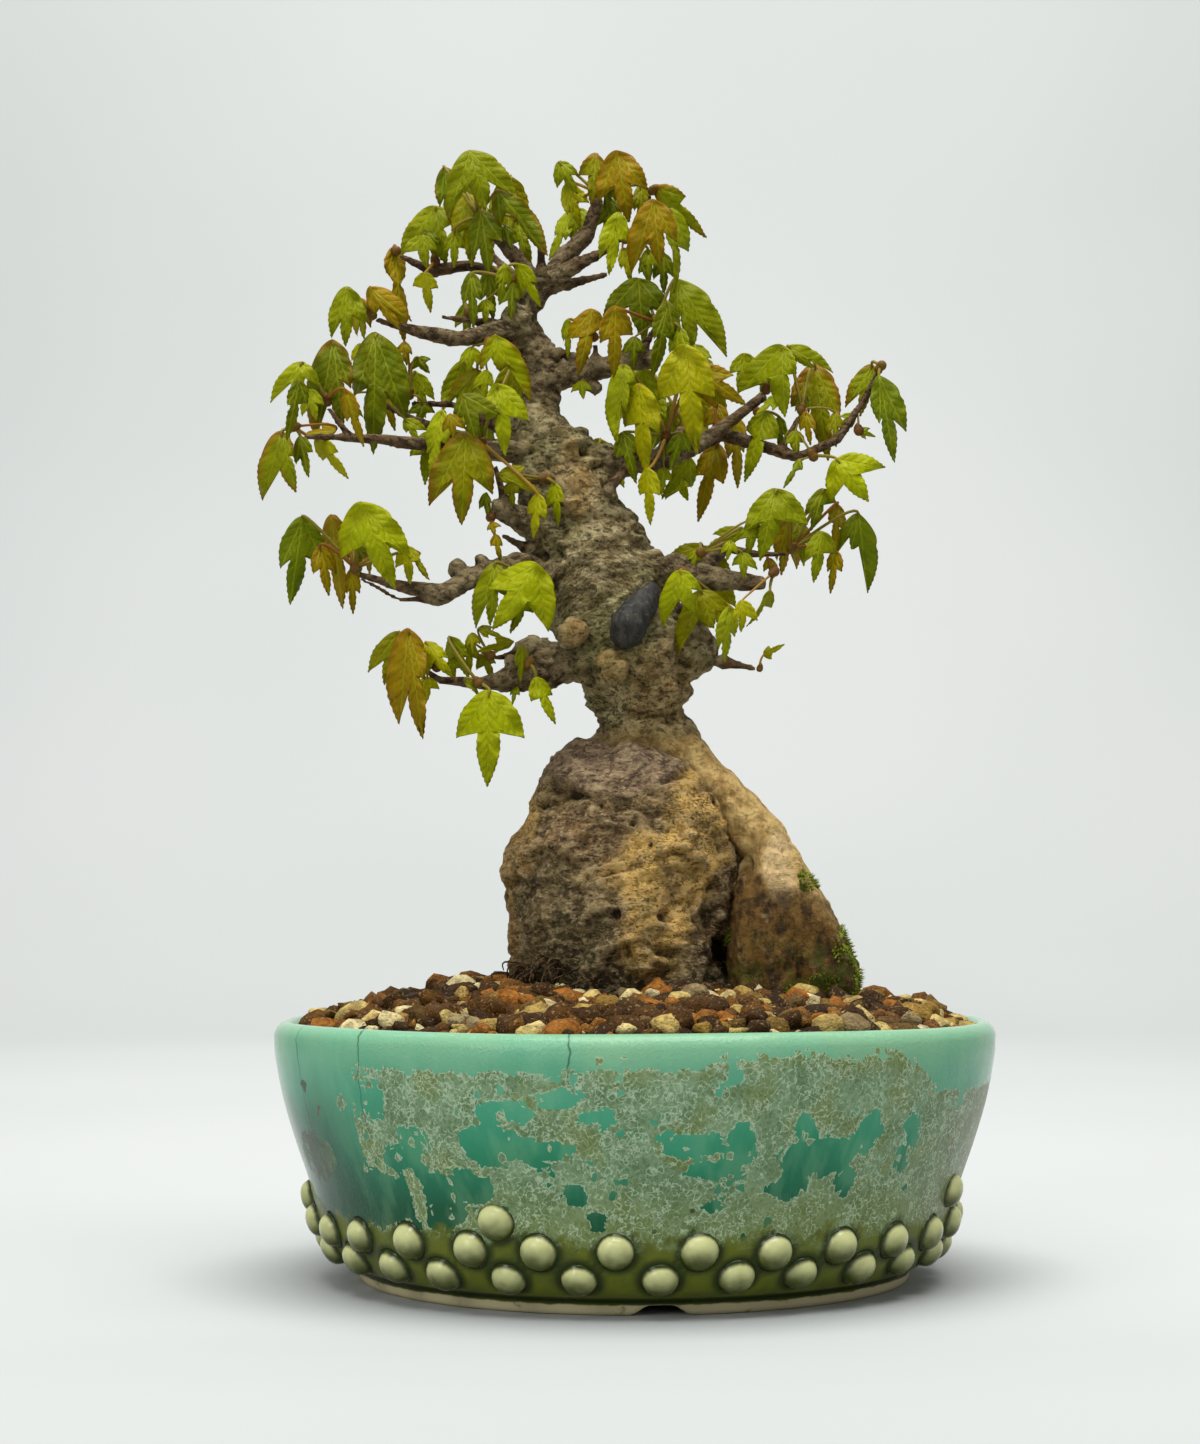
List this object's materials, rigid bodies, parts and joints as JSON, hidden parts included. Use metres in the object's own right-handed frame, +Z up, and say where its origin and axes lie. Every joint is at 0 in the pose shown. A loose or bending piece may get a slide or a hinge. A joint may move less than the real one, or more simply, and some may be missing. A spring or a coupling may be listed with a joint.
{
  "type": "potted trident maple bonsai",
  "caption": "Trident maple bonsai grown over a rock in a round glazed pot with rows of studs: thick tapering trunk, roots astride the stone, spreading limbs, small lobed leaves.",
  "frame": {"origin": "on the pot's axis, on the plane of its foot", "axes": "+Z up, -Y to the front of the tree, +X to the right seen from the front"},
  "size_m": [0.181, 0.181, 0.2912],
  "materials": {
    "glaze": "gloss, crystalline green glaze",
    "foot_clay": "bare, matte",
    "mesh_plastic": "matte",
    "clip_wire": "dull",
    "soil_grains": "rough grains",
    "rock": "rough, part mossy",
    "bark": "rough bark",
    "putty": "matte",
    "leaf": "thin, half gloss",
    "moss": "soft"
  },
  "bodies": {
    "root": {"pot": "glaze", "drain_mesh": "mesh_plastic", "mesh_clip": "clip_wire", "soil": "soil_grains", "rock": "rock", "tree": "bark", "wound_putty": "putty", "leaves_back_crown": "leaf", "leaves_back_left": "leaf", "leaves_back_right": "leaf", "leaves_back_trunk": "leaf", "leaves_back_upper": "leaf", "leaves_crown_far_left": "leaf", "leaves_crown_far_left_tip": "leaf", "leaves_crown_left": "leaf", "leaves_crown_middle": "leaf", "leaves_crown_right": "leaf", "leaves_crown_spur": "leaf", "leaves_crown_top_right": "leaf", "leaves_far_right_bud": "leaf", "leaves_far_right_low": "leaf", "leaves_far_right_tip": "leaf", "leaves_far_right_upper": "leaf", "leaves_left_stub": "leaf", "leaves_long_left_fork": "leaf", "leaves_long_left_front": "leaf", "leaves_long_left_root": "leaf", "leaves_long_left_tip": "leaf", "leaves_long_right_middle": "leaf", "leaves_long_right_tip": "leaf", "leaves_lower_left_tip": "leaf", "leaves_lower_right_front": "leaf", "leaves_lower_right_tip": "leaf", "leaves_lower_right_top": "leaf", "leaves_lower_right_upper": "leaf", "leaves_lowest_left_low": "leaf", "leaves_lowest_left_middle": "leaf", "leaves_lowest_left_tip": "leaf", "leaves_lowest_left_under": "leaf", "leaves_lowest_left_young": "leaf", "leaves_middle_right": "leaf", "leaves_middle_right_low": "leaf", "leaves_rising_left": "leaf", "leaves_thin_left": "leaf", "leaves_trunk_front": "leaf", "leaves_trunk_left": "leaf", "leaves_upper_left_bud": "leaf", "leaves_upper_left_tip": "leaf", "leaves_upper_left_under": "leaf", "leaves_upper_right": "leaf", "leaves_upper_right_thorn": "leaf"}
  },
  "joints": []
}
